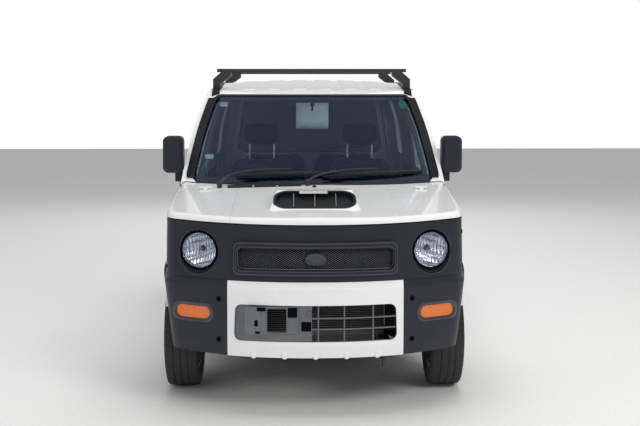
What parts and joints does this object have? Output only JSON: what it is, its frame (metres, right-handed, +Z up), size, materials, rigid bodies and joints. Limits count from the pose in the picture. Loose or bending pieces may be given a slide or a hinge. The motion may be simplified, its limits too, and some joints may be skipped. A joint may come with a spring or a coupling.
{
  "type": "five-door kei car",
  "caption": "Compact upright hatchback with opening doors, bonnet and tailgate, steered front wheels, round lamps in a dark front panel and a roof carrier.",
  "frame": {"origin": "on the ground under the middle of the car's bounding box", "axes": "+Z up, -Y towards the car's nose, +X towards the car's left side"},
  "size_m": [1.636, 3.3949, 1.6089],
  "materials": {
    "body_white": "gloss",
    "dark_plastic": "satin",
    "black_trim": "matte",
    "black_steel": "satin",
    "underbody_grey": "matte",
    "cast_grey": "matte",
    "window_glass": "polished",
    "lamp_glass": "polished",
    "lamp_reflector": "polished",
    "amber_lens": "gloss",
    "red_lens": "gloss",
    "tyre_rubber": "matte",
    "alloy": "satin",
    "cabin_plastic": "matte",
    "seat_fabric": "matte"
  },
  "bodies": {
    "body": {"side_frames": "body_white", "roof_panel": "body_white", "rear_panel": "body_white", "front_wings": "body_white", "cowl": "body_white", "bumper_centres": "body_white", "front_fascia": "dark_plastic", "bumper_ends": "dark_plastic", "arch_lips": "dark_plastic", "wheel_housings": "underbody_grey", "mouldings": "black_trim", "upper_grille": "black_trim", "lower_grille": "black_trim", "wipers": "black_trim", "roof_rack": "black_steel", "headlamp_housings": "lamp_reflector", "headlamp_lenses": "lamp_glass", "indicators": "amber_lens", "rear_lamps": "red_lens", "fixed_glass": "window_glass", "dashboard": "cabin_plastic", "front_seats": "seat_fabric", "rear_seat": "seat_fabric", "floor_pan": "underbody_grey", "engine_block": "cast_grey", "suspension": "black_steel", "underbody": "underbody_grey"},
    "bonnet": {"bonnet": "body_white", "bonnet_scoop": "black_trim"},
    "tailgate": {"tailgate": "body_white", "tailgate_glass": "window_glass"},
    "steering_wheel": {"steering_wheel": "cabin_plastic"},
    "door_front_left": {"door_front_left": "body_white", "glass_front_left": "window_glass", "mirror_left": "dark_plastic"},
    "door_rear_left": {"door_rear_left": "body_white", "glass_rear_left": "window_glass"},
    "knuckle_left": {"knuckle_left": "cast_grey"},
    "wheel_front_left": {"tyre_front_left": "tyre_rubber", "rim_front_left": "alloy"},
    "wheel_rear_left": {"tyre_rear_left": "tyre_rubber", "rim_rear_left": "alloy"},
    "door_front_right": {"door_front_right": "body_white", "glass_front_right": "window_glass", "mirror_right": "dark_plastic"},
    "door_rear_right": {"door_rear_right": "body_white", "glass_rear_right": "window_glass"},
    "knuckle_right": {"knuckle_right": "cast_grey"},
    "wheel_front_right": {"tyre_front_right": "tyre_rubber", "rim_front_right": "alloy"},
    "wheel_rear_right": {"tyre_rear_right": "tyre_rubber", "rim_rear_right": "alloy"}
  },
  "joints": [
    {"name": "front_door_left", "type": "hinge", "parent": "body", "child": "door_front_left", "pos_m": [0.727, -0.6605, 0.6], "axis": [0, 0, -1], "range_deg": [0, 65]},
    {"name": "rear_door_left", "type": "hinge", "parent": "body", "child": "door_rear_left", "pos_m": [0.727, 0.3125, 0.6], "axis": [0, 0, -1], "range_deg": [0, 65]},
    {"name": "front_door_right", "type": "hinge", "parent": "body", "child": "door_front_right", "pos_m": [-0.727, -0.6605, 0.6], "axis": [0, 0, 1], "range_deg": [0, 65]},
    {"name": "rear_door_right", "type": "hinge", "parent": "body", "child": "door_rear_right", "pos_m": [-0.727, 0.3125, 0.6], "axis": [0, 0, 1], "range_deg": [0, 65]},
    {"name": "bonnet_hinge", "type": "hinge", "parent": "body", "child": "bonnet", "pos_m": [0, -0.9065, 0.981], "axis": [-1, 0, 0], "range_deg": [0, 55]},
    {"name": "tailgate_hinge", "type": "hinge", "parent": "body", "child": "tailgate", "pos_m": [0, 1.5605, 1.495], "axis": [1, 0, 0], "range_deg": [0, 85]},
    {"name": "steer_left", "type": "hinge", "parent": "body", "child": "knuckle_left", "pos_m": [0.57544, -1.0775, 0.2685], "axis": [-0.2079, 0, 0.9781], "range_deg": [-33, 33]},
    {"name": "steer_right", "type": "hinge", "parent": "body", "child": "knuckle_right", "pos_m": [-0.57544, -1.0775, 0.2685], "axis": [0.2079, 0, 0.9781], "range_deg": [-33, 33]},
    {"name": "steering_wheel_turn", "type": "hinge", "parent": "body", "child": "steering_wheel", "pos_m": [-0.312, -0.3675, 0.905], "axis": [0, 0.8829, 0.4695], "range_deg": [-540, 540]},
    {"name": "spin_front_left", "type": "hinge", "parent": "knuckle_left", "child": "wheel_front_left", "pos_m": [0.65, -1.0775, 0.2685], "axis": [1, 0, 0], "continuous": true},
    {"name": "spin_rear_left", "type": "hinge", "parent": "body", "child": "wheel_rear_left", "pos_m": [0.65, 1.2825, 0.2685], "axis": [1, 0, 0], "continuous": true},
    {"name": "spin_front_right", "type": "hinge", "parent": "knuckle_right", "child": "wheel_front_right", "pos_m": [-0.65, -1.0775, 0.2685], "axis": [1, 0, 0], "continuous": true},
    {"name": "spin_rear_right", "type": "hinge", "parent": "body", "child": "wheel_rear_right", "pos_m": [-0.65, 1.2825, 0.2685], "axis": [1, 0, 0], "continuous": true}
  ],
  "couplings": [
    {"joint": "steer_right", "follows": "steer_left", "ratio": 1},
    {"joint": "steering_wheel_turn", "follows": "steer_left", "ratio": 16}
  ]
}
